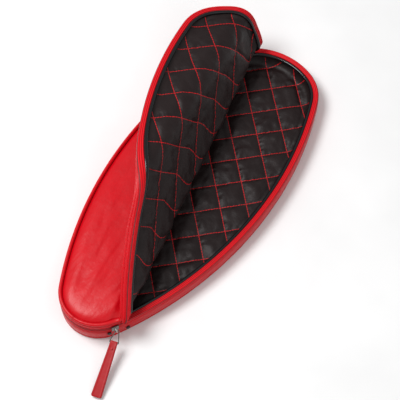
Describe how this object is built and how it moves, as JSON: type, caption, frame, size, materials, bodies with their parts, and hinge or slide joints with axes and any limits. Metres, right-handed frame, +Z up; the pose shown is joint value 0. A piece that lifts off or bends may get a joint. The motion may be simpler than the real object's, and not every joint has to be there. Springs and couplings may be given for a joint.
{
  "type": "racket case",
  "caption": "Teardrop zipped racket case with a quilted lining, its lid folded back and rolling over, and a zip slider with a leather pull strap.",
  "frame": {"origin": "middle of the flat back, on the surface that the case lies on", "axes": "+Y along the case towards its wide end, +Z up out of the back, +X towards the side that opens"},
  "size_m": [0.2615, 0.6272, 0.1537],
  "materials": {
    "red_leather": "smooth glossy leather",
    "zip_tape": "woven zip tape and binding",
    "zip_coil": "nylon zip coil",
    "quilted_lining": "padded satin, quilted with red thread",
    "black_piping": "glossy covered cord",
    "stiffener": "plain board, hidden behind the lining",
    "nickel": "polished nickel plate",
    "black_rubber": "matt"
  },
  "bodies": {
    "base": {"back_panel": "red_leather", "back_welt": "red_leather", "base_wall_narrow": "red_leather", "base_wall_right": "red_leather", "base_wall_wide": "red_leather", "base_wall_left": "red_leather", "base_zip_tape": "zip_tape", "base_zip_coil": "zip_coil", "base_piping": "black_piping", "back_stiffener": "stiffener", "base_lining": "quilted_lining", "base_side_lining": "quilted_lining", "hinge_gusset": "red_leather", "wall_stud_left": "black_rubber", "wall_stud_right": "black_rubber", "lid_panel_closed": "red_leather", "lid_lining_closed": "quilted_lining", "lid_wall_closed": "red_leather", "lid_welt_closed": "red_leather", "lid_piping_closed": "black_piping", "lid_zip_tape_closed": "zip_tape", "lid_zip_coil_closed": "zip_coil"},
    "lid_side": {"lid_panel_side": "red_leather", "lid_lining_side": "quilted_lining", "lid_wall_side_free": "red_leather", "lid_welt_side_free": "red_leather", "lid_piping_side_free": "black_piping", "lid_zip_tape_side_free": "zip_tape", "lid_zip_coil_side_free": "zip_coil", "lid_wall_side_hinge": "red_leather", "lid_welt_side_hinge": "red_leather", "lid_piping_side_hinge": "black_piping", "lid_zip_tape_side_hinge": "zip_tape", "lid_zip_coil_side_hinge": "zip_coil"},
    "lid_tip": {"lid_panel_tip": "red_leather", "lid_lining_tip": "quilted_lining", "lid_wall_tip": "red_leather", "lid_welt_tip": "red_leather", "lid_piping_tip": "black_piping", "lid_zip_tape_tip": "zip_tape", "lid_zip_coil_tip": "zip_coil"},
    "slider": {"slider_body": "nickel", "slider_crown": "nickel"},
    "bail": {"pull_bail": "nickel"},
    "strap": {"pull_strap": "red_leather", "strap_rivet": "nickel"}
  },
  "joints": [
    {"name": "lid_fold", "type": "hinge", "parent": "base", "child": "lid_side", "pos_m": [0.05283, -0.2464, 0.0494], "axis": [0.2147, -0.9767, 0], "range_deg": [-118, 8]},
    {"name": "lid_roll", "type": "hinge", "parent": "lid_side", "child": "lid_tip", "pos_m": [-0.04965, 0.03823, 0.12269], "axis": [0.1556, -0.9816, 0.1107], "range_deg": [-57, 4]},
    {"name": "slider_travel", "type": "hinge", "parent": "base", "child": "slider", "pos_m": [0, -0.225, 0.0322], "axis": [0, 0, 1], "range_deg": [-110, 2]},
    {"name": "pull_swing", "type": "hinge", "parent": "slider", "child": "bail", "pos_m": [0.05708, -0.25671, 0.0322], "axis": [0, 0, 1], "range_deg": [-31, 64]},
    {"name": "strap_swing", "type": "hinge", "parent": "bail", "child": "strap", "pos_m": [0.06131, -0.27058, 0.02544], "axis": [-0.9566, -0.2915, 0], "range_deg": [-1, 90]}
  ],
  "couplings": [
    {"joint": "lid_roll", "follows": "lid_fold", "ratio": 0.483}
  ]
}
